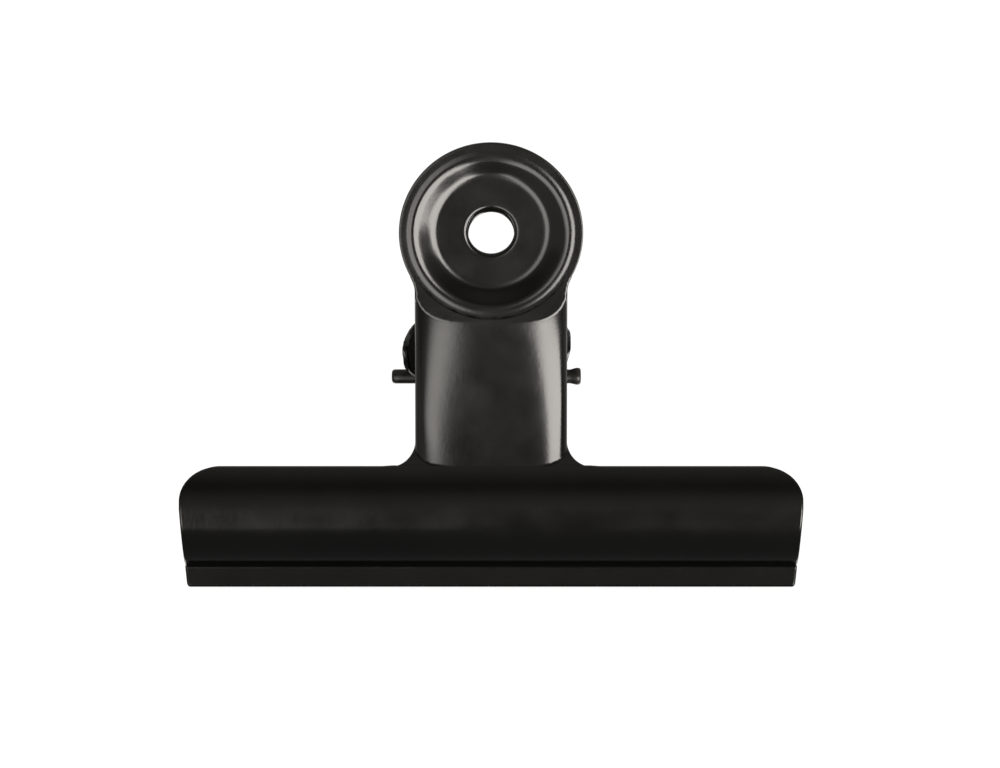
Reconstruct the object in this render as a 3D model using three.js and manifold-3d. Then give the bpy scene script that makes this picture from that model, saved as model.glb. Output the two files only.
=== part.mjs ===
// Bulldog letter clip: two pressed sheet-steel jaws with dished thumb plates,
// hinged on one headed pin and held shut by a wire torsion spring.
// Millimetres. +Z up, the front jaw towards -Y, the lips stand on z = 0,
// and y = 0 is the plane in which the two lips meet.
import * as THREE from 'three';
import { mergeVertices } from 'three/addons/utils/BufferGeometryUtils.js';
import Module from 'manifold-3d';

const wasm = await Module();
wasm.setup();

// ---------- driving dimensions ----------
const T = 0.7;              // sheet thickness
const LIP_GAP = 0.15;       // each lip's inner face stands this far from y = 0
const BAR_HALF = 37.5;      // half width of the jaw bar at its widest
const LIP_HALF = 36.7;      // half width at the lip's lower edge
const BAR_TOP = 14.46;      // height of the wings' upper edge
const BAR_CORNER = 4.3;     // radius of the wings' upper corners
const BULGE_Z = 9.95;       // height of the jaw's fullest bulge
const BULGE_A = 5.65;       // bulge depth of the sheet's middle line
const BULGE_F = 0.65;
const BULGE_LOW = 7.0;      // lower and upper half-heights of the bulge
const BULGE_HIGH = 8.2;
const NECK_HALF = 9.13;     // half width of the neck
const NECK_FILLET = 3.2;    // fillet between neck and wings, seen from the front
const NECK_Z0 = 14.4;       // where the neck leaves the bar
const NECK_F0 = 5.72;       // neck crown's distance in front of y = 0 there
const NECK_A = 0.08;        // the crown runs F0 + A t + B t^2
const NECK_B = 0.01638;
const ARCH = 2.5;           // depth of the neck's arch from crown to shoulder
const FLANGE = 5.2;         // depth of the neck's side flange from the crown
const RIDGE_Z = 31.77;      // where the neck meets the thumb plate
const TILT = THREE.MathUtils.degToRad(12.7); // lean of the thumb plate
const DISC_Z = 42.41;       // thumb plate's centre
const DISC_R = 11.0;
const HOLE_R = 2.78;
const PIN_Z = 25.38;
const PIN_R = 0.86;
const PIN_LEFT = -12.0;
const PIN_RIGHT = 10.83;
const PIN_HOLE_R = 0.95;
const EAR_IN = 7.85;        // middle plane of the front jaw's ears
const EAR_OUT = 8.75;       // middle plane of the rear jaw's ears
const FLARE_LEFT = 1.6;     // how far the rear jaw's ears flare out
const FLARE_RIGHT = 0.5;
const WIRE_R = 0.55;        // spring wire
const COIL_R = 1.98;
const COIL_TURNS = 7;
const COIL_HALF = 4.6;      // half length of the coil

// ---------- small helpers ----------
const smooth = (a, b, v) => {
  const t = Math.min(1, Math.max(0, (v - a) / (b - a)));
  return t * t * (3 - 2 * t);
};

function solidOf(geometry) {
  const g = geometry.clone();
  g.deleteAttribute('normal');
  g.deleteAttribute('uv');
  const m = mergeVertices(g, 1e-5);
  return new wasm.Manifold(new wasm.Mesh({
    numProp: 3,
    vertProperties: new Float32Array(m.attributes.position.array),
    triVerts: new Uint32Array(m.index.array),
  }));
}

function geometryOf(solid) {
  const mesh = solid.getMesh();
  const n = mesh.numProp;
  const count = mesh.vertProperties.length / n;
  const pos = new Float32Array(count * 3);
  for (let i = 0; i < count; i++) {
    for (let k = 0; k < 3; k++) pos[3 * i + k] = mesh.vertProperties[n * i + k];
  }
  const g = new THREE.BufferGeometry();
  g.setAttribute('position', new THREE.BufferAttribute(pos, 3));
  g.setIndex(new THREE.BufferAttribute(new Uint32Array(mesh.triVerts), 1));
  g.computeVertexNormals();
  return g;
}

// Closed solid from rings of equal length, capped at both ends.
function loft(rings) {
  const n = rings[0].length;
  const pos = [];
  for (const r of rings) for (const p of r) pos.push(p[0], p[1], p[2]);
  const idx = [];
  for (let i = 0; i + 1 < rings.length; i++) {
    for (let j = 0; j < n; j++) {
      const a = i * n + j, b = i * n + (j + 1) % n, c = a + n, d = b + n;
      idx.push(a, b, d, a, d, c);
    }
  }
  const cap = (ring, base, flip) => {
    // the cap's plane is the one of its two widest directions
    const lo = [1e9, 1e9, 1e9], hi = [-1e9, -1e9, -1e9];
    for (const p of ring) for (let k = 0; k < 3; k++) { lo[k] = Math.min(lo[k], p[k]); hi[k] = Math.max(hi[k], p[k]); }
    const order = [0, 1, 2].sort((u, v) => (hi[v] - lo[v]) - (hi[u] - lo[u]));
    const pts = ring.map((p) => new THREE.Vector2(p[order[0]], p[order[1]]));
    const tris = THREE.ShapeUtils.triangulateShape(pts, []);
    const ccw = THREE.ShapeUtils.area(pts) > 0;
    for (const t of tris) {
      // a cap triangle runs against the ring on the first cap, with it on the last
      const [a, b, c] = ccw ? t : [t[0], t[2], t[1]];
      if (flip) idx.push(base + a, base + c, base + b);
      else idx.push(base + a, base + b, base + c);
    }
  };
  cap(rings[0], 0, true);
  cap(rings[rings.length - 1], (rings.length - 1) * n, false);
  const g = new THREE.BufferGeometry();
  g.setAttribute('position', new THREE.Float32BufferAttribute(pos, 3));
  g.setIndex(idx);
  // turn the whole skin outward if its signed volume is negative
  const P = g.attributes.position;
  let vol = 0;
  const A = new THREE.Vector3(), B = new THREE.Vector3(), C = new THREE.Vector3();
  for (let i = 0; i < idx.length; i += 3) {
    A.fromBufferAttribute(P, idx[i]); B.fromBufferAttribute(P, idx[i + 1]); C.fromBufferAttribute(P, idx[i + 2]);
    vol += A.dot(B.clone().cross(C));
  }
  if (vol < 0) for (let i = 0; i < idx.length; i += 3) { const t = idx[i + 1]; idx[i + 1] = idx[i + 2]; idx[i + 2] = t; }
  g.setIndex(idx);
  return g;
}

// Offsets an open polyline to both sides and returns the closed outline.
function thicken(path, t) {
  const out = [], inn = [];
  for (let i = 0; i < path.length; i++) {
    const a = path[Math.max(0, i - 1)], b = path[Math.min(path.length - 1, i + 1)];
    const dx = b[0] - a[0], dy = b[1] - a[1], l = Math.hypot(dx, dy);
    const nx = dy / l, ny = -dx / l;
    out.push([path[i][0] + nx * t / 2, path[i][1] + ny * t / 2]);
    inn.push([path[i][0] - nx * t / 2, path[i][1] - ny * t / 2]);
  }
  return out.concat(inn.reverse());
}

// Prism of an outline in (x, z), running along Y.
function prismY(points, y0, y1) {
  return solidOf(loft([points.map(([x, z]) => [x, y0, z]), points.map(([x, z]) => [x, y1, z])]));
}

// Prism of an outline in (y, z), running along X.
function prismX(points, x0, x1) {
  return solidOf(loft([points.map(([y, z]) => [x0, y, z]), points.map(([y, z]) => [x1, y, z])]));
}

// ---------- jaw, drawn in (x, f, z) with f the distance in front of y = 0 ----------
const crown = (z) => {
  const t = z - NECK_Z0;
  return NECK_F0 + NECK_A * t + NECK_B * t * Math.max(t, 0);
};

// Middle line of the bar's sheet in (f, z), from the lip's edge upwards.
function barPath() {
  const p = [];
  const f = LIP_GAP + T / 2;
  p.push([f, 0], [f, 2.25], [f + 0.06, 2.52], [f + 0.28, 2.76], [f + 0.62, 2.9]);
  for (let a = -78; a <= 0; a += 8.66) {
    const r = THREE.MathUtils.degToRad(a);
    p.push([BULGE_F + BULGE_A * Math.cos(r), BULGE_Z + BULGE_LOW * Math.sin(r)]);
  }
  for (let a = 8; a <= 72; a += 8) {
    const r = THREE.MathUtils.degToRad(a);
    p.push([BULGE_F + BULGE_A * Math.cos(r), BULGE_Z + BULGE_HIGH * Math.sin(r)]);
  }
  return p;
}

// Outline of bar, fillets and neck foot in (x, z).
function barOutline() {
  const half = [];
  half.push([LIP_HALF - 0.35, -1], [LIP_HALF - 0.35, 0], [LIP_HALF, 0.45]);
  half.push([BAR_HALF, BULGE_Z - 0.6], [BAR_HALF, BAR_TOP - BAR_CORNER * 0.95]);
  for (let a = 15; a < 90; a += 15) {
    const r = THREE.MathUtils.degToRad(a);
    half.push([BAR_HALF - BAR_CORNER * 1.1 * (1 - Math.cos(r)), BAR_TOP - BAR_CORNER * 0.95 * (1 - Math.sin(r))]);
  }
  half.push([BAR_HALF - BAR_CORNER * 1.1, BAR_TOP], [NECK_HALF + NECK_FILLET, BAR_TOP]);
  for (let a = 15; a <= 90; a += 15) {
    const r = THREE.MathUtils.degToRad(a);
    half.push([NECK_HALF + NECK_FILLET * (1 - Math.sin(r)), BAR_TOP + NECK_FILLET * (1 - Math.cos(r))]);
  }
  return half.concat(half.slice().reverse().map(([x, z]) => [-x, z]));
}

// Rear edge of the neck's flanges: it runs into the bar's sheet at the foot.
function flangeBack(z) {
  const s = Math.min(0.97, (z - BULGE_Z) / BULGE_HIGH);
  const bar = BULGE_F + BULGE_A * Math.sqrt(1 - s * s) - 0.25;
  const free = crown(z) - FLANGE + 1.9 * smooth(31, 36, z);
  return free + (bar - free) * smooth(18.6, 16.4, z);
}

// Neck section at height z: an arch with side flanges turned back.
function neckRing(z, part = 'sheet') {
  const u = smooth(15, 32, z);
  const n = 5 - 1.5 * u;
  const c = crown(z) - T / 2;
  const w = NECK_HALF - T / 2;
  const b = ARCH - T / 2;
  const back = Math.min(flangeBack(z), c - b - 0.3);
  // the flanges toe in by less where they are short
  const toe = Math.min(1, (c - b - back) / 1.2);
  const path = [];
  path.push([-w + 0.5 * toe, back], [-w + 0.12 * toe, (back + c - b) / 2]);
  const steps = 16;
  for (let i = 0; i <= steps; i++) {
    // points bunched at the shoulders
    const a = -Math.PI / 2 + Math.PI * i / steps;
    const s = Math.sign(Math.sin(a)) * Math.pow(Math.abs(Math.sin(a)), 2 / n);
    const q = Math.pow(Math.abs(Math.cos(a)), 2 / n);
    path.push([w * s, c - b * (1 - q)]);
  }
  path.push([w - 0.12 * toe, (back + c - b) / 2], [w - 0.5 * toe, back]);
  const closed = thicken(path, T);
  // the filled section keeps only the outer line, closed straight across the back,
  // and the hollow one the inner line, carried on to the rear
  let line = closed;
  if (part === 'filled') line = closed.slice(path.length);
  if (part === 'hollow') {
    line = closed.slice(2, path.length - 2);
    line.push([line[line.length - 1][0], -6], [line[0][0], -6]);
  }
  return line.map(([x, f]) => [x, f, z]);
}

// Dish profile of the thumb plate: radius, height in front of its plane.
const DISH = [
  [HOLE_R, -1.75], [HOLE_R, -1.41], [2.9, -1.15], [3.2, -1.05], [6.5, -1.05], [6.95, -0.98], [7.3, -0.83],
  [8.3, -0.28], [8.75, -0.04], [9.05, 0.12], [9.3, 0.17], [9.6, 0.17], [9.92, 0], [DISC_R - 0.15, 0], [DISC_R, -0.2],
  [DISC_R, -T + 0.1], [DISC_R - 0.15, -T], [9.4, -T + 0.1], [8.9, -0.6], [7.6, -1.33], [7.0, -1.67], [6.6, -1.75],
];

function discSolid() {
  const pts = DISH.map(([r, h]) => new THREE.Vector2(r, h));
  pts.push(pts[0].clone());
  const g = new THREE.LatheGeometry(pts, 40);
  // the lathe turns about Y; the plate's axis is the front normal
  return orient(solidOf(outward(g)));
}

function outward(g) {
  const m = g.clone();
  m.deleteAttribute('normal'); m.deleteAttribute('uv');
  const h = mergeVertices(m, 1e-5);
  const idx = Array.from(h.index.array), P = h.attributes.position;
  const keep = [];
  const A = new THREE.Vector3(), B = new THREE.Vector3(), C = new THREE.Vector3();
  let vol = 0;
  for (let i = 0; i < idx.length; i += 3) {
    if (idx[i] === idx[i + 1] || idx[i + 1] === idx[i + 2] || idx[i] === idx[i + 2]) continue;
    A.fromBufferAttribute(P, idx[i]); B.fromBufferAttribute(P, idx[i + 1]); C.fromBufferAttribute(P, idx[i + 2]);
    vol += A.dot(B.clone().cross(C));
    keep.push(idx[i], idx[i + 1], idx[i + 2]);
  }
  if (vol < 0) for (let i = 0; i < keep.length; i += 3) { const t = keep[i + 1]; keep[i + 1] = keep[i + 2]; keep[i + 2] = t; }
  h.setIndex(keep);
  return h;
}

// Lathe axis +Y -> the thumb plate's front normal, in (x, f, z).
const plateF = crown(RIDGE_Z) + Math.tan(TILT) * (DISC_Z - RIDGE_Z);
function plateMatrix() {
  const n = new THREE.Vector3(0, Math.cos(TILT), -Math.sin(TILT));
  const up = new THREE.Vector3(0, Math.sin(TILT), Math.cos(TILT));
  const x = new THREE.Vector3().crossVectors(n, up);
  return new THREE.Matrix4().makeBasis(x, n, up).setPosition(0, plateF, DISC_Z);
}
function orient(solid) {
  return solidOf(geometryOf(solid).applyMatrix4(plateMatrix()));
}

// Flat web between the neck's arch and the dish, cut to the neck's width.
function webSolid() {
  const h = -(RIDGE_Z - DISC_Z) / Math.cos(TILT);
  const pts = [];
  const w = NECK_HALF - 0.1;
  pts.push([-w, -h - 1.2], [w, -h - 1.2], [w, -6.4]);
  pts.push([w + 0.25, -5.6], [w + 0.35, -5.2]);
  pts.push([-w - 0.35, -5.2], [-w - 0.25, -5.6], [-w, -6.4]);
  const a = pts.map(([x, s]) => [x, 0, s]), b = pts.map(([x, s]) => [x, -T, s]);
  return orient(solidOf(loft([a, b])));
}

function cylinderAlong(axis, r, a, b, at, seg = 28) {
  const g = new THREE.CylinderGeometry(r, r, b - a, seg);
  if (axis === 'x') g.rotateZ(-Math.PI / 2).translate((a + b) / 2, at[0], at[1]);
  return solidOf(g);
}

// Ear sheet at one side: its middle plane is bent by xAt(f, z), trimmed to a side outline.
function earSolid(side, xAt, f0, f1, z0, z1, outline) {
  const nf = 12, nz = 8;
  const P = (i, j, k) => {
    const f = f0 + (f1 - f0) * i / nf, z = z0 + (z1 - z0) * j / nz;
    return [side * (xAt(f, z) + (k ? T / 2 : -T / 2)), f, z];
  };
  const rings = [];
  for (let i = 0; i <= nf; i++) {
    const r = [];
    for (let j = 0; j <= nz; j++) r.push(P(i, j, 1));
    for (let j = nz; j >= 0; j--) r.push(P(i, j, 0));
    rings.push(r);
  }
  const sheet = solidOf(loft(rings));
  return sheet.intersect(prismX(outline, -20, 20));
}

// Side outline of an ear in (f, z): a tab that runs from the flange round the pin.
function arc(cx, cz, r, a0, a1, step) {
  const p = [];
  const n = Math.max(1, Math.round(Math.abs(a1 - a0) / step));
  for (let i = 0; i <= n; i++) {
    const a = THREE.MathUtils.degToRad(a0 + (a1 - a0) * i / n);
    p.push([cx + r * Math.cos(a), cz + r * Math.sin(a)]);
  }
  return p;
}
// front jaw's ear: base on the flange, round end about the pin
const earFront = [[5.6, 31.2], [4.4, 30.6], [1.6, 27.3]]
  .concat(arc(0, PIN_Z, 1.95, 75, 285, 21))
  .concat([[3.0, 22.3], [4.4, 21.6]]);
// rear jaw's ears: fuller above the pin, where their rounded corner flares out
const earLeft = [[8.6, 32.6], [6.4, 32.3], [4.6, 32.0], [2.3, 31.5], [0.4, 30.95], [-1.1, 30.35], [-2.4, 29.7], [-3.05, 29.15],
  [-3.3, 28.6], [-3.2, 28.0], [-2.85, 27.4], [-2.4, 26.75], [-2.02, 26.1]]
  .concat(arc(0, PIN_Z, 1.95, 190, 285, 19))
  .concat([[3.0, 22.3], [4.4, 21.6], [8.6, 21.6]]);
const earRight = [[8.6, 32.4], [6.4, 32.0], [4.4, 31.6], [2.2, 31.2], [0.3, 30.8], [-1.2, 30.25], [-2.1, 29.6], [-2.45, 28.95],
  [-2.5, 28.3], [-2.35, 27.5], [-2.1, 26.7], [-1.98, 26.0]]
  .concat(arc(0, PIN_Z, 1.95, 190, 285, 19))
  .concat([[3.0, 22.3], [4.4, 21.6], [8.6, 21.6]]);

// The hollow of the bulge, and the slant at which the flanges rise out of it.
function footCut() {
  const p = [[-6, 5], [3.5, 5]];
  for (let z = 9.95; z <= 13.7; z += 1.25) {
    const s = (z - BULGE_Z) / BULGE_HIGH;
    p.push([BULGE_F + BULGE_A * Math.sqrt(1 - s * s) - T / 2, z]);
  }
  return p.concat([[4.6, 14.6], [3.7, 16.0], [2.5, 17.6], [1.1, 18.9], [-6, 19.6]]);
}

// What lies in front of the flange's edge, so that an ear only laps the flange there.
function behindFlange() {
  const p = [];
  for (let z = 20; z <= 34; z += 1.4) p.push([flangeBack(z) + 0.7, z]);
  return prismX(p.concat([[30, 34], [30, 20]]), -20, 20);
}

function jaw(rear) {
  // bar
  const profile = thicken(barPath(), T);
  let body = prismX(profile, -BAR_HALF - 1, BAR_HALF + 1);
  body = body.intersect(prismY(barOutline(), -3, 20));
  body = body.subtract(solidOf(loft([13.2, 14.4, 15.6, 17, 19].map((z) => neckRing(z, 'hollow')))));
  // neck: the arch stops at the thumb plate's plane and at the bar's inner side
  const zs = [13.2, 14.4, 15.6, 17, 19, 21.5, 24, 26.5, 29, 31, 32.4, 33.6, 34.8, 36];
  let neck = solidOf(loft(zs.map((z) => neckRing(z))));
  neck = neck.subtract(prismX(footCut(), -20, 20));
  const plate = plateMatrix();
  const front = new THREE.BoxGeometry(60, 30, 60).translate(0, 15, 0).applyMatrix4(plate);
  neck = neck.subtract(solidOf(front));
  const up = new THREE.BoxGeometry(60, 60, 30).translate(0, 0, 15 - 6.3).applyMatrix4(plate);
  neck = neck.subtract(solidOf(up));
  // dish bore through the web
  const bore = new THREE.CylinderGeometry(9.6, 9.6, 8, 36).applyMatrix4(plate);
  const web = webSolid().subtract(solidOf(bore));
  const filled = solidOf(loft([29, 30.4, 31.6, 32.4, 33.2, 34, 34.8].map((z) => neckRing(z, 'filled'))));
  const above = solidOf(new THREE.BoxGeometry(40, 40, 20).translate(0, 10, 34.7 + 10));
  body = body.add(neck).add(web.intersect(filled)).add(web.intersect(above)).add(discSolid());
  // ears
  for (const side of [-1, 1]) {
    let ear;
    if (rear) {
      // the left ear (x < 0) flares further than the right one
      const left = side < 0;
      const xAt = (f, z) => {
        const base = 8.32 + (EAR_OUT - 8.32) * smooth(flangeBack(z) + 0.4, flangeBack(z) - 2.2, f);
        const up = left ? FLARE_LEFT * smooth(24.9, 26.6, z) * Math.min(1, Math.max(0, (5 - f) / 8.2))
          : FLARE_RIGHT * smooth(26.6, 28.9, z) * smooth(5, -0.6, f);
        return base + up;
      };
      ear = earSolid(side, xAt, -3.9, 8.2, 21, 33.2, left ? earLeft : earRight);
      ear = ear.subtract(behindFlange());
    } else {
      const xAt = (f) => 8.3 + (EAR_IN - 8.3) * smooth(4.6, 2.4, f);
      ear = earSolid(side, xAt, -2.4, 5.8, 21, 32, earFront).subtract(behindFlange());
    }
    body = body.add(ear);
  }
  body = body.subtract(cylinderAlong('x', PIN_HOLE_R, -14, 14, [0, PIN_Z]));
  // (x, f, z) -> (x, y, z): the front jaw faces -Y, the rear jaw +Y
  const g = geometryOf(body);
  const p = g.attributes.position;
  const idx = Array.from(g.index.array);
  if (!rear) {
    for (let i = 0; i < p.count; i++) p.setY(i, -p.getY(i));
    for (let i = 0; i < idx.length; i += 3) { const t = idx[i + 1]; idx[i + 1] = idx[i + 2]; idx[i + 2] = t; }
    g.setIndex(idx);
  }
  g.computeVertexNormals();
  return g;
}

// ---------- pin: straight wire, rounded at the left end, upset head at the right ----------
function pinGeometry() {
  const r = PIN_R;
  const pts = [
    [0, PIN_LEFT], [r * 0.7, PIN_LEFT], [r, PIN_LEFT + 0.3], [r, 9.0], [r * 0.96, 9.35],
    [r * 1.02, 9.7], [r * 1.16, 10.1], [r * 1.25, 10.45], [r * 1.2, 10.7], [r * 1.0, PIN_RIGHT], [0, PIN_RIGHT],
  ].map(([a, b]) => new THREE.Vector2(a, b));
  const g = outward(new THREE.LatheGeometry(pts, 24));
  g.rotateZ(-Math.PI / 2).translate(0, 0, PIN_Z);
  g.computeVertexNormals();
  return g;
}

// ---------- torsion spring: close coil about the pin, one leg behind each neck ----------
function coilPoints() {
  const a0 = THREE.MathUtils.degToRad(215), a1 = THREE.MathUtils.degToRad(-35);
  const total = a1 + Math.PI * 2 * COIL_TURNS - a0;
  const n = COIL_TURNS * 12;
  const coil = [];
  for (let i = 0; i <= n; i++) {
    // the angle is measured in the (y, z) plane from +y
    const s = i / n, a = a0 + total * s;
    coil.push(new THREE.Vector3(-COIL_HALF + 2 * COIL_HALF * s, COIL_R * Math.cos(a), PIN_Z + COIL_R * Math.sin(a)));
  }
  return coil;
}

// Tube of round section along a polyline, with the rings square to it.
function tube(points, r, sides) {
  const rings = [];
  let normal = new THREE.Vector3(1, 0, 0);
  for (let i = 0; i < points.length; i++) {
    const a = points[Math.max(0, i - 1)], b = points[Math.min(points.length - 1, i + 1)];
    const t = b.clone().sub(a).normalize();
    normal.sub(t.clone().multiplyScalar(normal.dot(t))).normalize();
    const bin = new THREE.Vector3().crossVectors(t, normal);
    const ring = [];
    for (let k = 0; k < sides; k++) {
      const q = 2 * Math.PI * k / sides;
      const p = points[i].clone().addScaledVector(normal, r * Math.cos(q)).addScaledVector(bin, r * Math.sin(q));
      ring.push([p.x, p.y, p.z]);
    }
    rings.push(ring);
  }
  return loft(rings);
}

function springSolid() {
  const coil = coilPoints();
  // each end runs straight from the coil up to the inner side of one neck
  const leg = (from, sign) => {
    const end = new THREE.Vector3(from.x, sign * 10.05, 31.3);
    const pts = [];
    for (let i = 1; i <= 4; i++) pts.push(from.clone().lerp(end, i / 4));
    return pts;
  };
  const front = leg(coil[0], -1).reverse();
  const rear = leg(coil[coil.length - 1], 1);
  return tube(front.concat(coil, rear), WIRE_R, 8);
}

// ---------- assembly ----------
const enamel = () => new THREE.MeshStandardMaterial({ color: 0x141414, roughness: 0.32, metalness: 0.0 });
const blackSteel = () => new THREE.MeshStandardMaterial({ color: 0x1c1c1b, roughness: 0.4, metalness: 0.5 });
const springSteel = () => new THREE.MeshStandardMaterial({ color: 0x6a6b6c, roughness: 0.35, metalness: 0.9 });

const clip = new THREE.Group();
function place(name, geometry, material) {
  const mesh = new THREE.Mesh(geometry, material);
  mesh.name = name;
  clip.add(mesh);
}
place('front_jaw', jaw(false), enamel());
place('rear_jaw', jaw(true), enamel());
place('hinge_pin', pinGeometry(), blackSteel());
place('torsion_spring', springSolid(), springSteel());

export default clip;
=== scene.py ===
"""Bulldog letter clip: enamelled pressed-steel jaws, headed pin and wire spring, built round the CAD frame.

Lengths are worked out in millimetres in (x, f, z), where f is the distance in front of the
plane in which the lips meet. The front jaw looks towards -Y and the rear jaw towards +Y.
"""

import math

import bmesh
import bpy
import numpy as np
from mathutils import Matrix, Vector
from mathutils.geometry import tessellate_polygon

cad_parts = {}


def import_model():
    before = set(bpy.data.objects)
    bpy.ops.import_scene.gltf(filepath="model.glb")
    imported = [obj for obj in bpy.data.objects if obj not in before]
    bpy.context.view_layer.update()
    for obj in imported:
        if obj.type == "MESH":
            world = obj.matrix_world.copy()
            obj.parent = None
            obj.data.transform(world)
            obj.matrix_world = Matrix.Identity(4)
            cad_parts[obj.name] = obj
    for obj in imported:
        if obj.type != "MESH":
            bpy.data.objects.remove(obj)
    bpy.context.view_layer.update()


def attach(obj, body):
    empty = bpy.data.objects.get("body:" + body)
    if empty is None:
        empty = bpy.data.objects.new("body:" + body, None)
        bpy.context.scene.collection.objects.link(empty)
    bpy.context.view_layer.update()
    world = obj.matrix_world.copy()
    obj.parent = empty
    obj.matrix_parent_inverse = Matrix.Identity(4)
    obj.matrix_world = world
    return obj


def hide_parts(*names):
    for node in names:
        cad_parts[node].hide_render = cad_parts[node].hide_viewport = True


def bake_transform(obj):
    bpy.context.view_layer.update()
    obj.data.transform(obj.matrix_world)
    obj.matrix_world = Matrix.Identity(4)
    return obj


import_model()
MM = 0.001

# ---------- dimensions, as in the CAD (mm) ----------
T = 0.7
LIP_GAP = 0.15
BAR_HALF = 37.5
LIP_HALF = 36.7
BAR_TOP = 14.46
BAR_CORNER = 4.3
BULGE_Z, BULGE_A, BULGE_F, BULGE_LOW, BULGE_HIGH = 9.95, 5.65, 0.65, 7.0, 8.2
NECK_HALF = 9.13
NECK_Z0, NECK_F0, NECK_A, NECK_B = 14.4, 5.72, 0.08, 0.01638
ARCH = 2.5
FLANGE = 5.2
RIDGE_Z = 31.77
TILT = math.radians(12.7)
DISC_Z, DISC_R, HOLE_R = 42.41, 11.0, 2.78
PIN_Z, PIN_R, PIN_LEFT, PIN_RIGHT, PIN_HOLE_R = 25.38, 0.86, -12.0, 10.83, 0.95
EAR_IN, EAR_OUT = 7.85, 8.75
FLARE_LEFT, FLARE_RIGHT = 1.6, 0.5
WIRE_R, COIL_R, COIL_TURNS, COIL_HALF = 0.55, 1.98, 7, 4.6
VOXEL = 0.13


def smooth(a, b, v):
    t = np.clip((np.asarray(v, float) - a) / (b - a), 0, 1)
    r = t * t * (3 - 2 * t)
    return float(r) if np.ndim(r) == 0 else r


def crown(z):
    t = z - NECK_Z0
    return NECK_F0 + NECK_A * t + NECK_B * t * max(t, 0)


def bulge_f(z):
    s = min(0.97, (z - BULGE_Z) / BULGE_HIGH)
    return BULGE_F + BULGE_A * math.sqrt(1 - s * s)


def flange_back(z):
    bar = bulge_f(z) - 0.25
    free = crown(z) - FLANGE + 1.9 * smooth(31, 36, z)
    return free + (bar - free) * smooth(18.6, 16.4, z)


PLATE_F = crown(RIDGE_Z) + math.tan(TILT) * (DISC_Z - RIDGE_Z)
N_PLATE = np.array([0, math.cos(TILT), -math.sin(TILT)])
UP_PLATE = np.array([0, math.sin(TILT), math.cos(TILT)])


def on_plate(p):
    """(x, height in front of the plate, distance up the plate) to (x, f, z)."""
    p = np.asarray(p, float)
    o = np.array([0, PLATE_F, DISC_Z])
    return o + p[..., :1] * np.array([1.0, 0, 0]) + p[..., 1:2] * N_PLATE + p[..., 2:3] * UP_PLATE


# ---------- mesh helpers ----------
def mesh_object(name, verts, faces):
    me = bpy.data.meshes.new(name)
    me.from_pydata([tuple(map(float, v)) for v in verts], [], [tuple(map(int, f)) for f in faces])
    me.validate()
    bm = bmesh.new()
    bm.from_mesh(me)
    bmesh.ops.remove_doubles(bm, verts=bm.verts, dist=1e-5)
    bmesh.ops.recalc_face_normals(bm, faces=bm.faces)
    bm.to_mesh(me)
    bm.free()
    ob = bpy.data.objects.new(name, me)
    bpy.context.collection.objects.link(ob)
    return ob


def loft(name, rings):
    rings = [np.asarray(r, float) for r in rings]
    n = len(rings[0])
    verts = np.concatenate(rings)
    faces = []
    for i in range(len(rings) - 1):
        for j in range(n):
            a, b = i * n + j, i * n + (j + 1) % n
            faces.append((a, b, b + n, a + n))
    for base in (0, (len(rings) - 1) * n):
        poly = [Vector(v) for v in verts[base:base + n]]
        for t in tessellate_polygon([poly]):
            faces.append(tuple(base + k for k in t))
    return mesh_object(name, verts, faces)


def prism_x(name, pts, x0, x1):
    return loft(name, [[(x, f, z) for f, z in pts] for x in (x0, x1)])


def prism_y(name, pts, f0, f1):
    return loft(name, [[(x, f, z) for x, z in pts] for f in (f0, f1)])


def plate_box(x, h0, h1, s0, s1):
    c = [(-x, s0), (x, s0), (x, s1), (-x, s1)]
    rings = [on_plate([(a, h, b) for a, b in c]) for h in (h0, h1)]
    return loft("tool", rings)


def drop(ob):
    me = ob.data
    bpy.data.objects.remove(ob)
    bpy.data.meshes.remove(me)


def boolean(ob, tool, kind):
    m = ob.modifiers.new("b", "BOOLEAN")
    m.operation = kind
    m.object = tool
    m.solver = "MANIFOLD"
    bake(ob)
    drop(tool)
    return ob


def bake(ob):
    """Puts the result of an object's modifiers into its mesh."""
    bpy.context.view_layer.update()
    dep = bpy.context.evaluated_depsgraph_get()
    new = bpy.data.meshes.new_from_object(ob.evaluated_get(dep))
    old = ob.data
    ob.modifiers.clear()
    ob.data = new
    bpy.data.meshes.remove(old)


def join(obs, name):
    bm = bmesh.new()
    for o in obs:
        bm.from_mesh(o.data)
    me = bpy.data.meshes.new(name)
    bm.to_mesh(me)
    bm.free()
    for o in obs:
        drop(o)
    ob = bpy.data.objects.new(name, me)
    bpy.context.collection.objects.link(ob)
    return ob


def voxel(ob, size):
    m = ob.modifiers.new("r", "REMESH")
    m.mode = "VOXEL"
    m.voxel_size = size
    m.adaptivity = 0
    bake(ob)


def relax(ob, times, a=0.55, b=-0.57, hold=None):
    """Smooths a mesh without shrinking it: one step in, one step out."""
    me = ob.data
    n = len(me.vertices)
    co = np.empty(n * 3)
    me.vertices.foreach_get("co", co)
    co = co.reshape(-1, 3)
    e = np.empty(len(me.edges) * 2, dtype=np.int64)
    me.edges.foreach_get("vertices", e)
    e = e.reshape(-1, 2)
    i = np.concatenate([e[:, 0], e[:, 1]])
    j = np.concatenate([e[:, 1], e[:, 0]])
    deg = np.maximum(np.bincount(i, minlength=n), 1)[:, None]
    for _ in range(times):
        for k in (a, b):
            m = np.stack([np.bincount(i, weights=co[j, c], minlength=n) for c in range(3)], 1) / deg
            co = co + k * (m - co)
    me.vertices.foreach_set("co", co.ravel())
    me.update()


def half_thickness(e, t=T, r=0.24):
    """Half the sheet's thickness at distance e from its cut edge, with the edge rounded by the enamel."""
    d = np.clip(r - np.asarray(e, float), 0, r)
    return t / 2 - r + np.sqrt(r * r - d * d)


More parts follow.
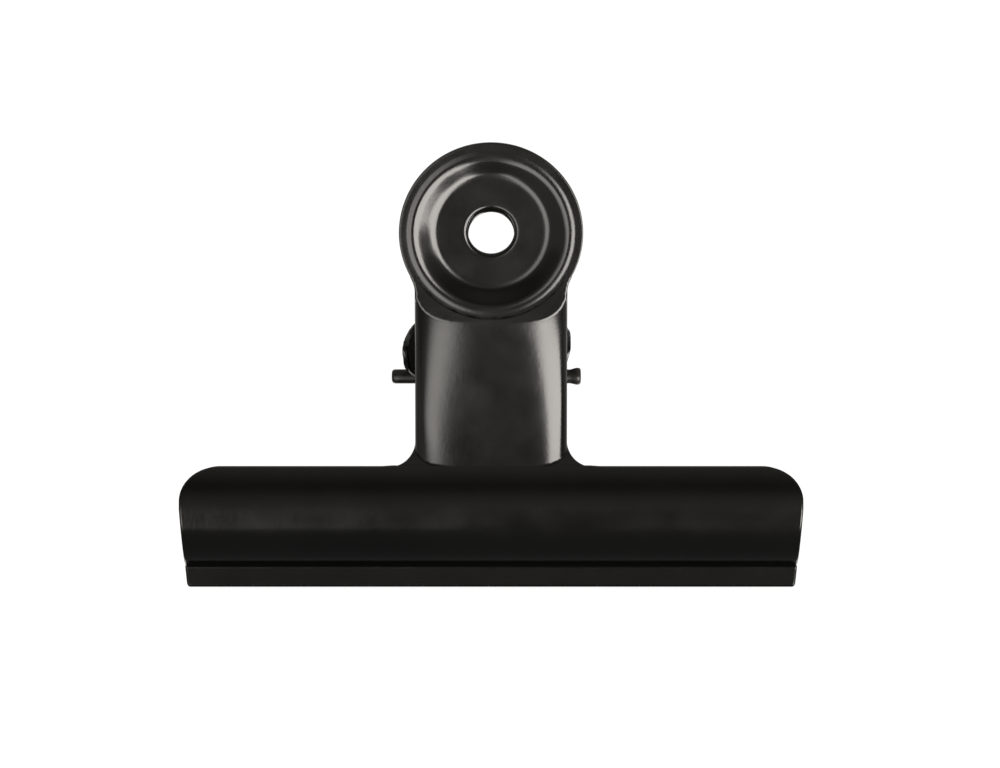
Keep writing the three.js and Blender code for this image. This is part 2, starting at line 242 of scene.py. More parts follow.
def sheet_mesh(name, mid, nor, half):
    """Closed sheet from a grid of middle points, normals and half thicknesses."""
    rows, cols = half.shape
    front = (mid + nor * half[..., None]).reshape(-1, 3)
    back = (mid - nor * half[..., None]).reshape(-1, 3)
    n = rows * cols
    faces = []
    for i in range(rows - 1):
        for j in range(cols - 1):
            a = i * cols + j
            faces.append((a, a + 1, a + cols + 1, a + cols))
            faces.append((n + a, n + a + cols, n + a + cols + 1, n + a + 1))
    edge = [i * cols for i in range(rows)] + [(rows - 1) * cols + j for j in range(1, cols)]
    edge += [i * cols + cols - 1 for i in range(rows - 2, -1, -1)] + [j for j in range(cols - 2, 0, -1)]
    for k in range(len(edge)):
        a, b = edge[k], edge[(k + 1) % len(edge)]
        faces.append((a, b, n + b, n + a))
    return mesh_object(name, np.concatenate([front, back]), faces)


# ---------- the jaw's bar: lip, crease and rounded bulge, to the wings' upper edge ----------
def resample(p, s):
    d = np.concatenate([[0], np.cumsum(np.hypot(*np.diff(p, axis=0).T))])
    return np.stack([np.interp(s, d, p[:, 0]), np.interp(s, d, p[:, 1])], 1), d[-1]


def rounded(p, step, sigma):
    """A polyline with its corners rounded, its ends kept."""
    _, total = resample(p, [0])
    s = np.arange(0, total, step)
    s = np.append(s, total)
    q, _ = resample(p, s)
    k = int(4 * sigma / step)
    w = np.exp(-0.5 * (np.arange(-k, k + 1) * step / sigma) ** 2)
    w /= w.sum()
    pad = np.concatenate([2 * q[0] - q[1:k + 1][::-1], q, 2 * q[-1] - q[-k - 1:-1][::-1]])
    return np.stack([np.convolve(pad[:, c], w, "valid") for c in range(2)], 1)


def bar_width(z):
    """Half width of the bar at height z: a slanted cut, with rounded corners."""
    if z < 0.55:
        t = 1 - max(z, 0) / 0.55
        return LIP_HALF - 0.4 + 0.4 * math.sqrt(max(0, 1 - t * t))
    z1, z2 = BULGE_Z - 0.6, BAR_TOP - BAR_CORNER * 0.95
    w = LIP_HALF + (BAR_HALF - LIP_HALF) * min(1, (z - 0.55) / (z1 - 0.55)) ** 0.9
    if z > z2:
        t = min(1, (z - z2) / (BAR_TOP - z2))
        w = BAR_HALF - BAR_CORNER * 1.1 * (1 - math.sqrt(max(0, 1 - t * t)))
    return w


def bar_shell():
    f = LIP_GAP + T / 2
    p = [(f, 0), (f, 2.38), (f + 0.05, 2.6), (f + 0.24, 2.79), (f + 0.58, 2.9)]
    for a in np.arange(-78, 0, 1.5):
        r = math.radians(a)
        p.append((BULGE_F + BULGE_A * math.cos(r), BULGE_Z + BULGE_LOW * math.sin(r)))
    top = math.asin((BAR_TOP - BULGE_Z) / BULGE_HIGH)
    for r in np.linspace(0, top, 30):
        p.append((BULGE_F + BULGE_A * math.cos(r), BULGE_Z + BULGE_HIGH * math.sin(r)))
    q = rounded(np.array(p), 0.03, 0.13)
    _, total = resample(q, [0])
    near = [0, 0.02, 0.05, 0.09, 0.14, 0.2, 0.28, 0.4]
    s = np.concatenate([near, np.arange(0.6, 1.9, 0.3), np.arange(1.95, 4.2, 0.09), np.arange(4.4, total - 4.9, 0.3),
                        np.arange(total - 4.8, total - 0.5, 0.16), total - np.array(near[::-1])])
    c, _ = resample(q, s)
    d1, _ = resample(q, np.maximum(s - 0.06, 0))
    d2, _ = resample(q, np.minimum(s + 0.06, total))
    t = d2 - d1
    t /= np.hypot(t[:, 0], t[:, 1])[:, None]
    nor2 = np.stack([t[:, 1], -t[:, 0]], 1)
    width = np.array([bar_width(z) for z in c[:, 1]])
    slope = np.gradient(width, s)
    edge = np.array([0, 0.02, 0.05, 0.09, 0.14, 0.2, 0.28, 0.42, 0.65, 1.0, 1.5, 2.2])
    inner = np.linspace(1, 0, 34)[1:]
    mid, nor, half = [], [], []
    for i in range(len(s)):
        xs = np.concatenate([width[i] - edge, (width[i] - 2.2) * inner])
        xs = np.concatenate([-xs, xs[::-1][1:]])
        e_end = (width[i] - np.abs(xs)) / math.sqrt(1 + slope[i] ** 2)
        e_top = total - s[i] + 50 * smooth(12.7, 12.1, np.abs(xs))
        e = np.minimum(np.minimum(e_end, e_top), s[i])
        mid.append(np.stack([xs, np.full_like(xs, c[i, 0]), np.full_like(xs, c[i, 1])], 1))
        nor.append(np.tile([0, nor2[i, 0], nor2[i, 1]], (len(xs), 1)))
        half.append(half_thickness(e))
    return sheet_mesh("bar", np.array(mid), np.array(nor), np.array(half))


# ---------- the neck, its flanges, the web under the thumb plate and the ears ----------
def neck_ring(z, part="sheet"):
    u = smooth(15, 32, z)
    n = 5 - 1.5 * u
    c = crown(z) - T / 2
    w = NECK_HALF - T / 2
    b = ARCH - T / 2
    back = min(flange_back(z), c - b - 0.3)
    a = np.linspace(-math.pi / 2, math.pi / 2, 61)
    x = w * np.sign(np.sin(a)) * np.abs(np.sin(a)) ** (2 / n)
    f = c - b * (1 - np.abs(np.cos(a)) ** (2 / n))
    # the flanges toe in by less where they are short
    toe = min(1, (c - b - back) / 1.2)
    path = [(-w + 0.5 * toe, back), (-w + 0.3 * toe, back + 0.45 * (c - b - back)), (-w + 0.1 * toe, back + 0.75 * (c - b - back))]
    path += list(zip(x, f))
    path += [(-p[0], p[1]) for p in path[:3]][::-1]
    path = np.array(path)
    d = np.gradient(path, axis=0)
    d /= np.maximum(np.hypot(d[:, 0], d[:, 1]), 1e-9)[:, None]
    off = np.stack([-d[:, 1], d[:, 0]], 1) * T / 2
    outer, inner = path + off, path - off
    if part == "filled":
        line = outer
    elif part == "hollow":
        inner = inner[3:-3]
        line = np.concatenate([inner, [[inner[-1, 0], -6], [inner[0, 0], -6]]])
    else:
        line = np.concatenate([outer, inner[::-1]])
    return np.stack([line[:, 0], line[:, 1], np.full(len(line), z)], 1)


def foot_strip():
    """The part of the bar's sheet that runs on upwards into the fillets beside the neck."""
    zs = np.linspace(12.4, 17.75, 36)
    out, inn = [], []
    for z in zs:
        s = (z - BULGE_Z) / BULGE_HIGH
        th = math.asin(min(s, 0.985))
        nf, nz = math.cos(th) / BULGE_A, math.sin(th) / BULGE_HIGH
        l = math.hypot(nf, nz)
        h = T / 2 - 0.035 * (1 - smooth(14.3, 14.9, z))
        m = (BULGE_F + BULGE_A * math.cos(th), BULGE_Z + BULGE_HIGH * math.sin(th))
        out.append((m[0] + h * nf / l, m[1] + h * nz / l))
        inn.append((m[0] - h * nf / l, m[1] - h * nz / l))
    strip = prism_x("strip", out + inn[::-1], -16, 16)
    half = [(12.55, 11), (12.55, 14.38)]
    for a in np.arange(6, 91, 6):
        r = math.radians(a)
        half.append((NECK_HALF - 0.02 + 3.42 * (1 - math.sin(r)), 14.38 + 3.3 * (1 - math.cos(r))))
    line = half + [(-x, z) for x, z in half[::-1]]
    boolean(strip, prism_y("line", line, -3, 20), "INTERSECT")
    hollow = loft("hollow", [neck_ring(z, "hollow") for z in np.arange(13.2, 19.3, 0.4)])
    return boolean(strip, hollow, "DIFFERENCE")


def arc(cx, cz, r, a0, a1, step):
    n = max(1, round(abs(a1 - a0) / step))
    return [(cx + r * math.cos(math.radians(a0 + (a1 - a0) * i / n)), cz + r * math.sin(math.radians(a0 + (a1 - a0) * i / n))) for i in range(n + 1)]


ROUND_PIN = arc(0, PIN_Z, 1.95, 190, 285, 8) + [(3.0, 22.3), (4.4, 21.6), (8.6, 21.6)]
EAR_FRONT = [(5.6, 31.2), (4.4, 30.6), (1.6, 27.3)] + arc(0, PIN_Z, 1.95, 75, 285, 8) + [(3.0, 22.3), (4.4, 21.6)]
EAR_LEFT = [(8.6, 32.6), (6.4, 32.3), (4.6, 32.0), (2.3, 31.5), (0.4, 30.95), (-1.1, 30.35), (-2.4, 29.7), (-3.05, 29.15),
            (-3.3, 28.6), (-3.2, 28.0), (-2.85, 27.4), (-2.4, 26.75), (-2.02, 26.1)] + ROUND_PIN
EAR_RIGHT = [(8.6, 32.4), (6.4, 32.0), (4.4, 31.6), (2.2, 31.2), (0.3, 30.8), (-1.2, 30.25), (-2.1, 29.6), (-2.45, 28.95),
             (-2.5, 28.3), (-2.35, 27.5), (-2.1, 26.7), (-1.98, 26.0)] + ROUND_PIN


def ear(side, x_at, f0, f1, z0, z1, outline):
    rings = []
    zs = np.linspace(z0, z1, 33)
    for f in np.linspace(f0, f1, 33):
        rings.append([(side * (x_at(f, z) + T / 2), f, z) for z in zs] + [(side * (x_at(f, z) - T / 2), f, z) for z in zs[::-1]])
    sheet = loft("ear", rings)
    boolean(sheet, prism_x("line", outline, -20, 20), "INTERSECT")
    cut = [(flange_back(z) + 0.7, z) for z in np.arange(20, 34.1, 0.5)] + [(30, 34), (30, 20)]
    return boolean(sheet, prism_x("cut", cut, -20, 20), "DIFFERENCE")


def neck_shell(rear):
    zs = np.concatenate([np.arange(13.2, 31, 0.45), np.arange(31, 36.4, 0.3)])
    neck = loft("neck", [neck_ring(z) for z in zs])
    foot = [(-6, 5), (3.5, 5)]
    for z in np.arange(9.95, 13.8, 0.5):
        foot.append((bulge_f(z) - T / 2, z))
    foot += [(4.6, 14.6), (3.7, 16.0), (2.5, 17.6), (1.1, 18.9), (-6, 19.6)]
    boolean(neck, prism_x("foot", foot, -20, 20), "DIFFERENCE")
    boolean(neck, plate_box(30, 0, 30, -30, 30), "DIFFERENCE")
    boolean(neck, plate_box(30, -30, 30, -6.3, 30), "DIFFERENCE")
    h = (DISC_Z - RIDGE_Z) / math.cos(TILT)
    w = NECK_HALF - 0.06
    half = [(w, -h - 1.2), (w, -7.5), (w + 0.05, -6.9), (w + 0.17, -6.35), (w + 0.34, -5.9), (w + 0.52, -5.5), (w + 0.66, -5.2)]
    line = half + [(-x, s) for x, s in half[::-1]]
    web = loft("web", [on_plate([(x, g, s) for x, s in line]) for g in (0.0, -T + 0.05)])
    ring = [(9.6 * math.cos(a), 9.6 * math.sin(a)) for a in np.linspace(0, 2 * math.pi, 97)[:-1]]
    boolean(web, loft("bore", [on_plate([(x, g, s) for x, s in ring]) for g in (-4, 4)]), "DIFFERENCE")
    # below the plate the web keeps inside the neck's outer line
    keep = loft("keep", [neck_ring(z, "filled") for z in np.arange(29, 34.9, 0.4)])
    up = prism_y("up", [(-20, 34.5), (20, 34.5), (20, 50), (-20, 50)], -10, 30)
    high = web.copy()
    high.data = web.data.copy()
    bpy.context.collection.objects.link(high)
    boolean(web, keep, "INTERSECT")
    boolean(high, up, "INTERSECT")
    parts = [neck, web, high, foot_strip()]
    for side in (-1, 1):
        if rear:
            left = side < 0

            def x_at(f, z):
                g = flange_back(z)
                base = 8.32 + (EAR_OUT - 8.32) * smooth(g + 0.4, g - 2.2, f)
                if left:
                    return base + FLARE_LEFT * smooth(24.9, 26.6, z) * min(1, max(0, (5 - f) / 8.2))
                return base + FLARE_RIGHT * smooth(26.6, 28.9, z) * smooth(5, -0.6, f)

            parts.append(ear(side, x_at, -3.9, 8.2, 21, 33.2, EAR_LEFT if left else EAR_RIGHT))
        else:
            parts.append(ear(side, lambda f, z: 8.3 + (EAR_IN - 8.3) * smooth(4.6, 2.4, f), -2.4, 5.8, 21, 32, EAR_FRONT))
    body = parts[0]
    for p in parts[1:]:
        boolean(body, p, "UNION")
    circle = [(PIN_HOLE_R * math.cos(a), PIN_Z + PIN_HOLE_R * math.sin(a)) for a in np.linspace(0, 2 * math.pi, 41)[:-1]]
    boolean(body, prism_x("bore", circle, -14, 14), "DIFFERENCE")
    voxel(body, VOXEL)
    relax(body, 14)
    return body


# ---------- thumb plate: dished, with a rolled bead, a flat floor and a rounded hole ----------
DISH_FRONT = [(HOLE_R, -1.65), (HOLE_R, -1.41), (2.9, -1.17), (3.15, -1.05), (6.5, -1.05), (6.95, -0.98), (7.3, -0.83),
              (8.3, -0.28), (8.75, -0.04), (9.0, 0.03), (9.25, 0.08), (9.6, 0.08), (9.82, 0.04), (10.0, 0.0), (DISC_R - 0.03, 0.0), (DISC_R, -0.05), (DISC_R, -0.22)]
DISH_BACK = [(DISC_R, -0.5), (DISC_R - 0.06, -0.64), (10.8, -0.7), (9.45, -0.66), (8.95, -0.68), (7.55, -1.38), (7.0, -1.67), (6.5, -1.75),
             (3.0, -1.75), (HOLE_R + 0.08, -1.72), (HOLE_R, -1.65)]


def disc_shell():
    front = rounded(np.array(DISH_FRONT), 0.02, 0.075)
    back = rounded(np.array(DISH_BACK), 0.02, 0.075)
    line = np.concatenate([front, back[1:-1]])
    d = np.concatenate([[0], np.cumsum(np.hypot(*np.diff(line, axis=0).T))])
    # points bunched where the profile turns
    t = np.gradient(line, axis=0)
    ang = np.unwrap(np.arctan2(t[:, 1], t[:, 0]))
    dens = 1 / 0.42 + np.abs(np.gradient(ang, d + np.arange(len(d)) * 1e-9)) / math.radians(9)
    cum = np.concatenate([[0], np.cumsum((dens[1:] + dens[:-1]) / 2 * np.diff(d))])
    pick = np.interp(np.linspace(0, cum[-1], int(cum[-1]) + 1), cum, d)
    r = np.interp(pick, d, line[:, 0])
    h = np.interp(pick, d, line[:, 1])
    seg = 144
    verts, faces = [], []
    for k in range(seg):
        a = 2 * math.pi * k / seg
        verts.append(on_plate(np.stack([r * math.cos(a), h, r * math.sin(a)], 1)))
    n = len(r)
    for k in range(seg):
        for i in range(n):
            a, b = k * n + i, k * n + (i + 1) % n
            c, e = ((k + 1) % seg) * n + (i + 1) % n, ((k + 1) % seg) * n + i
            faces.append((a, b, c, e))
    return mesh_object("disc", np.concatenate(verts), faces)


def finish_mesh(ob, rear, angle=35):
    """(x, f, z) in mm to the row frame in metres, shaded smooth except at real edges."""
    sign = 1 if rear else -1
    ob.data.transform(Matrix(((MM, 0, 0, 0), (0, sign * MM, 0, 0), (0, 0, MM, 0), (0, 0, 0, 1))))
    if sign < 0:
        ob.data.flip_normals()
    bm = bmesh.new()
    bm.from_mesh(ob.data)
    for f in bm.faces:
        f.smooth = True
    lim = math.radians(angle)
    for e in bm.edges:
        e.smooth = not (len(e.link_faces) == 2 and e.calc_face_angle(0) > lim)
    bm.to_mesh(ob.data)
    bm.free()
    ob.data.update()


def jaw(rear):
    ob = join([bar_shell(), neck_shell(rear), disc_shell()], "rear_jaw_enamel" if rear else "front_jaw_enamel")
    finish_mesh(ob, rear)
    return ob


# ---------- pin and spring ----------
def lathe_x(name, pts, seg, wobble=None):
    """Pin profile of (radius, x) turned about the hinge axis."""
    verts, faces = [], []
    n = len(pts)
    for k in range(seg):
        a = 2 * math.pi * k / seg
        for r, x in pts:
            q = r * (wobble(x, a) if wobble else 1)
            verts.append((x, q * math.cos(a), PIN_Z + q * math.sin(a)))
    for k in range(seg):
        for i in range(n - 1):
            a, b = k * n + i, ((k + 1) % seg) * n + i
            faces.append((a, a + 1, b + 1, b))
    return mesh_object(name, verts, faces)


def pin():
    r = PIN_R
    pts = [(0, PIN_LEFT), (r * 0.5, PIN_LEFT + 0.01), (r * 0.76, PIN_LEFT + 0.06), (r * 0.93, PIN_LEFT + 0.2), (r, PIN_LEFT + 0.42)]
    pts += [(r, x) for x in np.arange(-11, 9.0, 0.8)]
    pts += [(r, 9.1), (r * 0.97, 9.35), (r * 0.99, 9.6), (r * 1.08, 9.85), (r * 1.17, 10.1), (r * 1.22, 10.3), (r * 1.22, 10.5), (r * 1.16, 10.68),
            (r * 1.0, PIN_RIGHT - 0.03), (r * 0.6, PIN_RIGHT), (0, PIN_RIGHT)]

    def wobble(x, a):
        # the upset head and the sheared end aren't quite round
        return 1 - 0.05 * smooth(9.5, 10.3, x) * (0.5 + 0.5 * math.sin(3 * a + 0.7)) - 0.03 * smooth(-11.2, -11.9, x) * (0.5 + 0.5 * math.cos(2 * a))

    ob = lathe_x("hinge_pin_wire", pts, 48, wobble)
    finish_mesh(ob, True, 40)
    return ob


def spring():
    a0, a1 = math.radians(215), math.radians(-35)
    total = a1 + 2 * math.pi * COIL_TURNS - a0
    n = COIL_TURNS * 40
    coil = []
    for i in range(n + 1):
        s = i / n
        a = a0 + total * s
        coil.append((-COIL_HALF + 2 * COIL_HALF * s, COIL_R * math.cos(a), PIN_Z + COIL_R * math.sin(a)))
    coil = np.array(coil)

    def leg(start, sign):
        end = np.array([start[0], sign * 10.05, 31.3])
        return np.array([start + (end - start) * k for k in np.linspace(0, 1, 15)[1:]])

    path = np.concatenate([leg(coil[0], -1)[::-1], coil, leg(coil[-1], 1)])
    sides = 14
    verts, faces, normal = [], [], np.array([1.0, 0, 0])
    m = len(path)
    # a ring of the wire's section at each point of the path; the ends are closed with flat faces
    for i in range(m):
        t = path[min(m - 1, i + 1)] - path[max(0, i - 1)]
        t /= np.linalg.norm(t)
        normal = normal - t * normal.dot(t)
        normal /= np.linalg.norm(normal)
        side = np.cross(t, normal)
        for k in range(sides):
            q = 2 * math.pi * k / sides
            verts.append(path[i] + WIRE_R * (normal * math.cos(q) + side * math.sin(q)))
    for i in range(m - 1):
        for k in range(sides):
            a, b = i * sides + k, i * sides + (k + 1) % sides
            faces.append((a, b, b + sides, a + sides))
    faces.append(tuple(range(sides)))
    faces.append(tuple((m - 1) * sides + k for k in range(sides)))
    ob = mesh_object("torsion_spring_wire", verts, faces)
    finish_mesh(ob, True, 40)
    return ob


# ---------- materials ----------
def nodes_of(name):
    m = bpy.data.materials.new(name)
    m.use_nodes = True
    nt = m.node_tree
    return m, nt, nt.nodes["Principled BSDF"]


def noise(nt, scale, detail=3.0, rough=0.5, vector=None):
    n = nt.nodes.new("ShaderNodeTexNoise")
    n.inputs["Scale"].default_value = scale
    n.inputs["Detail"].default_value = detail
    n.inputs["Roughness"].default_value = rough
    if vector:
        nt.links.new(vector, n.inputs["Vector"])
    return n


def remap(nt, value, a, b, c, d):
    n = nt.nodes.new("ShaderNodeMapRange")
    for k, v in zip(("From Min", "From Max", "To Min", "To Max"), (a, b, c, d)):
        n.inputs[k].default_value = v
    nt.links.new(value, n.inputs["Value"])
    return n.outputs["Result"]


def object_coords(nt):
    return nt.nodes.new("ShaderNodeTexCoord").outputs["Object"]


def enamel():
    m, nt, p = nodes_of("black_enamel")
    co = object_coords(nt)
    ramp = nt.nodes.new("ShaderNodeValToRGB")
    ramp.color_ramp.elements[0].position, ramp.color_ramp.elements[0].color = 0.25, (0.0020, 0.0020, 0.0018, 1)
    ramp.color_ramp.elements[1].position, ramp.color_ramp.elements[1].color = 0.8, (0.0034, 0.0033, 0.0030, 1)
    cloud = noise(nt, 90, 4, 0.55, co)
    nt.links.new(cloud.outputs["Fac"], ramp.inputs["Fac"])
    nt.links.new(ramp.outputs["Color"], p.inputs["Base Color"])
    patch = noise(nt, 260, 2, 0.5, co)
    nt.links.new(remap(nt, patch.outputs["Fac"], 0.3, 0.7, 0.15, 0.19), p.inputs["Roughness"])
    p.inputs["IOR"].default_value = 1.5
    # orange peel over a finer grain
    peel = noise(nt, 1500, 3, 0.6, co)
    grain = noise(nt, 3600, 2, 0.6, co)
    b1 = nt.nodes.new("ShaderNodeBump")
    b1.inputs["Strength"].default_value = 0.35
    b1.inputs["Distance"].default_value = 0.000017
    nt.links.new(peel.outputs["Fac"], b1.inputs["Height"])
    b2 = nt.nodes.new("ShaderNodeBump")
    b2.inputs["Strength"].default_value = 0.30
    b2.inputs["Distance"].default_value = 0.000012
    nt.links.new(grain.outputs["Fac"], b2.inputs["Height"])
    nt.links.new(b1.outputs["Normal"], b2.inputs["Normal"])
    nt.links.new(b2.outputs["Normal"], p.inputs["Normal"])
    return m


def pin_steel():
    m, nt, p = nodes_of("pin_steel")
    co = object_coords(nt)
    s = noise(nt, 900, 4, 0.6, co)
    ramp = nt.nodes.new("ShaderNodeValToRGB")
    ramp.color_ramp.elements[0].position, ramp.color_ramp.elements[0].color = 0.35, (0.010, 0.010, 0.009, 1)
    ramp.color_ramp.elements[1].position, ramp.color_ramp.elements[1].color = 0.85, (0.030, 0.029, 0.027, 1)
    nt.links.new(s.outputs["Fac"], ramp.inputs["Fac"])
    nt.links.new(ramp.outputs["Color"], p.inputs["Base Color"])
    p.inputs["Metallic"].default_value = 0.15
    nt.links.new(remap(nt, s.outputs["Fac"], 0.3, 0.7, 0.28, 0.42), p.inputs["Roughness"])
    b = nt.nodes.new("ShaderNodeBump")
    b.inputs["Strength"].default_value = 0.4
    b.inputs["Distance"].default_value = 0.00003
    nt.links.new(s.outputs["Fac"], b.inputs["Height"])
    nt.links.new(b.outputs["Normal"], p.inputs["Normal"])
    return m


def spring_steel():
    m, nt, p = nodes_of("spring_steel")
    co = object_coords(nt)
    mp = nt.nodes.new("ShaderNodeMapping")
    mp.inputs["Scale"].default_value = (3.0, 1.0, 1.0)
    nt.links.new(co, mp.inputs["Vector"])
    s = noise(nt, 1400, 4, 0.6, mp.outputs["Vector"])
    ramp = nt.nodes.new("ShaderNodeValToRGB")
    ramp.color_ramp.elements[0].position, ramp.color_ramp.elements[0].color = 0.3, (0.20, 0.20, 0.205, 1)
    ramp.color_ramp.elements[1].position, ramp.color_ramp.elements[1].color = 0.75, (0.42, 0.42, 0.43, 1)
    nt.links.new(s.outputs["Fac"], ramp.inputs["Fac"])
    nt.links.new(ramp.outputs["Color"], p.inputs["Base Color"])
    p.inputs["Metallic"].default_value = 1.0
    nt.links.new(remap(nt, s.outputs["Fac"], 0.3, 0.7, 0.26, 0.4), p.inputs["Roughness"])
    b = nt.nodes.new("ShaderNodeBump")
    b.inputs["Strength"].default_value = 0.3
    b.inputs["Distance"].default_value = 0.00001
    nt.links.new(s.outputs["Fac"], b.inputs["Height"])
    nt.links.new(b.outputs["Normal"], p.inputs["Normal"])
    return m


def dress(ob, material, body, slot, *nodes):
    ob.data.materials.clear()
    ob.data.materials.append(material)
    if body:
        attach(ob, body)
    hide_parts(*nodes)


paint, pin_mat, spring_mat = enamel(), pin_steel(), spring_steel()
dress(jaw(False), paint, "front", "black_enamel", "front_jaw")
dress(jaw(True), paint, "rear", "black_enamel", "rear_jaw")
dress(pin(), pin_mat, "rear", "pin_steel", "hinge_pin")
wire = spring()
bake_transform(wire)
dress(wire, spring_mat, None, "spring_steel", "torsion_spring")

# ---------- stage, light and camera ----------
scene = bpy.context.scene
scene.view_settings.view_transform = "Standard"
scene.view_settings.look = "None"


def emission(name, strength, seen=None, color=(1, 1, 1)):
    m = bpy.data.materials.new(name)
    m.use_nodes = True
    nt = m.node_tree
    nt.nodes.clear()
    out = nt.nodes.new("ShaderNodeOutputMaterial")
    e = nt.nodes.new("ShaderNodeEmission")
    e.inputs["Color"].default_value = (*color, 1)
    e.inputs["Strength"].default_value = strength
    nt.links.new(e.outputs["Emission"], out.inputs["Surface"])
    return m


def floor():
    me = bpy.data.meshes.new("floor")
    ring = [(1.6 * math.cos(a), 1.6 * math.sin(a), -0.0001) for a in np.linspace(0, 2 * math.pi, 97)[:-1]]
    me.from_pydata(ring, [], [tuple(range(96))])
    ob = bpy.data.objects.new("floor", me)
    bpy.context.collection.objects.link(ob)
    m = bpy.data.materials.new("floor_paper")
    m.use_nodes = True
    nt = m.node_tree
    p = nt.nodes["Principled BSDF"]
    p.inputs["Base Color"].default_value = (0.82, 0.82, 0.82, 1)
    p.inputs["Roughness"].default_value = 0.9
    p.inputs["Specular IOR Level"].default_value = 0.1
    e = nt.nodes.new("ShaderNodeEmission")
    e.inputs["Strength"].default_value = 0.9
    dark = nt.nodes.new("ShaderNodeEmission")
    dark.inputs["Strength"].default_value = 0.0
    lp = nt.nodes.new("ShaderNodeLightPath")
    mix = nt.nodes.new("ShaderNodeMixShader")
    nt.links.new(lp.outputs["Is Camera Ray"], mix.inputs["Fac"])
    nt.links.new(dark.outputs["Emission"], mix.inputs[1])
    nt.links.new(e.outputs["Emission"], mix.inputs[2])
    add = nt.nodes.new("ShaderNodeAddShader")
    nt.links.new(p.outputs["BSDF"], add.inputs[0])
    nt.links.new(mix.outputs["Shader"], add.inputs[1])
    nt.links.new(add.outputs["Shader"], nt.nodes["Material Output"].inputs["Surface"])
    ob.data.materials.append(m)
    # seen by the camera only: the clip is lit as if it hung free in the studio
    ob.visible_glossy = ob.visible_diffuse = ob.visible_shadow = False


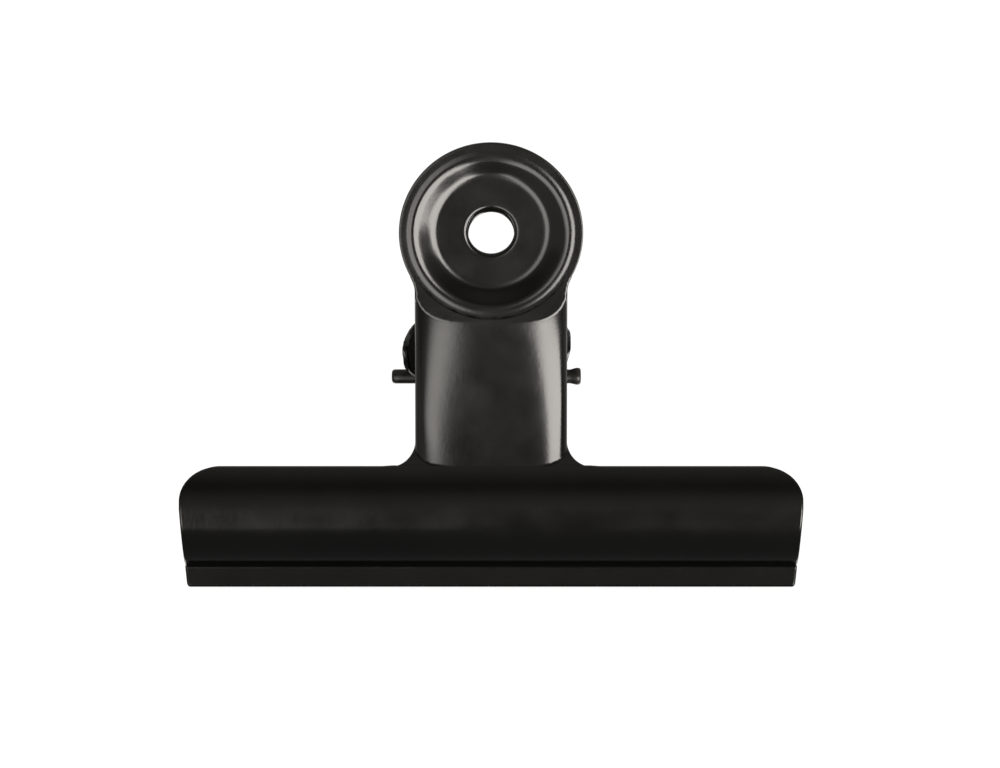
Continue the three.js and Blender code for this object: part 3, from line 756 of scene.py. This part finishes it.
def world():
    """Studio light as seen from the clip: a broad strip on the right, a dimmer one on the left, and dark felt between."""
    w = bpy.data.worlds.new("studio")
    scene.world = w
    w.use_nodes = True
    nt = w.node_tree
    tc = nt.nodes.new("ShaderNodeTexCoord")
    xyz = nt.nodes.new("ShaderNodeSeparateXYZ")
    nt.links.new(tc.outputs["Generated"], xyz.inputs[0])

    def math_node(op, a, b=None):
        n = nt.nodes.new("ShaderNodeMath")
        n.operation = op
        for i, v in enumerate((a, b)):
            if v is None:
                continue
            if isinstance(v, (int, float)):
                n.inputs[i].default_value = v
            else:
                nt.links.new(v, n.inputs[i])
        return n.outputs[0]

    def step(v, lo, hi, c=0.0, d=1.0):
        n = nt.nodes.new("ShaderNodeMapRange")
        n.interpolation_type = "SMOOTHSTEP"
        for k, q in zip(("From Min", "From Max", "To Min", "To Max"), (lo, hi, c, d)):
            n.inputs[k].default_value = q
        nt.links.new(v, n.inputs["Value"])
        return n.outputs["Result"]

    def times(*v):
        r = v[0]
        for q in v[1:]:
            r = math_node("MULTIPLY", r, q)
        return r

    deg = 180 / math.pi
    # azimuth 0 is the camera's side and 90 the right; elevation is above the horizon
    az = times(math_node("ARCTAN2", xyz.outputs["X"], math_node("MULTIPLY", xyz.outputs["Y"], -1.0)), deg)
    el = times(math_node("ARCSINE", xyz.outputs["Z"]), deg)
    low = times(step(el, *LIGHT_FOOT), step(el, *LIGHT_TOP, 1, 0))
    # both patches are narrower near the horizon
    outer = step(el, -29, -13, 0, 15)
    # and the right one is also narrower near its foot
    both = math_node("ADD", outer, step(el, -46, -60, 0, 10))
    right = times(step(az, *RIGHT_IN), step(math_node("ADD", az, both), *RIGHT_OUT, 1, 0), low, RIGHT)
    # the left patch's inner edge leans: it comes nearer to the middle lower down
    lean = math_node("SUBTRACT", az, step(el, -26, -50, 0, 1))
    left = times(step(lean, -2, -14, 0, 1), step(math_node("SUBTRACT", az, outer), -20, -50, 1, 0.06), step(az, -80, -100, 1, 0), low, LEFT)
    absaz = math_node("ABSOLUTE", az)
    band = times(step(math_node("ABSOLUTE", el), 2, 21, 1, 0), step(absaz, 30, 90, 1, 0), step(az, -4, 4, 0.85, 1.15), BAND)
    sky = times(step(el, 18, 50), SKY)
    back = times(step(absaz, 70, 105), step(math_node("ABSOLUTE", el), 20, 60, 1, 0), BACK)
    # two soft patches behind the clip light its rear as the front ones light its front
    rear = times(step(absaz, 138, 148), step(absaz, 166, 176, 1, 0), low, REAR)
    total = math_node("ADD", math_node("ADD", right, left), math_node("ADD", band, math_node("ADD", math_node("ADD", math_node("ADD", sky, back), rear), AMBIENT)))
    bg = nt.nodes["Background"]
    bg.inputs["Color"].default_value = (1.03, 0.992, 0.94, 1)
    nt.links.new(total, bg.inputs["Strength"])
    white = nt.nodes.new("ShaderNodeBackground")
    white.inputs["Color"].default_value = (1, 1, 1, 1)
    white.inputs["Strength"].default_value = 1.05
    lp = nt.nodes.new("ShaderNodeLightPath")
    mix = nt.nodes.new("ShaderNodeMixShader")
    nt.links.new(lp.outputs["Is Camera Ray"], mix.inputs["Fac"])
    nt.links.new(bg.outputs["Background"], mix.inputs[1])
    nt.links.new(white.outputs["Background"], mix.inputs[2])
    nt.links.new(mix.outputs["Shader"], nt.nodes["World Output"].inputs["Surface"])


def card():
    """A small grey card just below and in front of the clip: its soft light lies on the neck's middle and the plate's floor."""
    me = bpy.data.meshes.new("card")
    x0, x1, y0, y1, z = -0.0065, 0.0095, -0.032, -0.19, -0.016
    me.from_pydata([(x0, y0, z), (x1, y0, z), (x1, y1, z), (x0, y1, z)], [], [(0, 1, 2, 3)])
    ob = bpy.data.objects.new("card", me)
    bpy.context.collection.objects.link(ob)
    ob.data.materials.append(emission("card_light", CARD))
    ob.visible_camera = False


RIGHT, LEFT, REAR, BAND, SKY, BACK, AMBIENT, CARD = 11.6, 5.0, 1.8, 0.21, 0.27, 0.25, 0.04, 0.06
RIGHT_IN, RIGHT_OUT, LIGHT_TOP, LIGHT_FOOT = (12, 17), (61, 69), (-12, -2), (-74, -65)
card()


def flag():
    """A dark card under the clip keeps the side lights out of the bar's underside."""
    me = bpy.data.meshes.new("flag")
    x, y0, y1, z = 0.07, 0.006, -0.027, -0.010
    me.from_pydata([(-x, y0, z), (x, y0, z), (x, y1, z), (-x, y1, z)], [], [(0, 1, 2, 3)])
    ob = bpy.data.objects.new("flag", me)
    bpy.context.collection.objects.link(ob)
    ob.data.materials.append(emission("flag_felt", 0.12))
    ob.visible_camera = False


flag()
floor()
world()

cam = bpy.data.cameras.new("camera")
cam.lens = 358
cam.sensor_width = 36
cam.clip_start, cam.clip_end = 0.05, 20
eye = bpy.data.objects.new("camera", cam)
bpy.context.collection.objects.link(eye)
eye.location = (0.00107, -1.2, 0.02446)
eye.rotation_euler = (math.radians(90), 0, 0)
scene.camera = eye
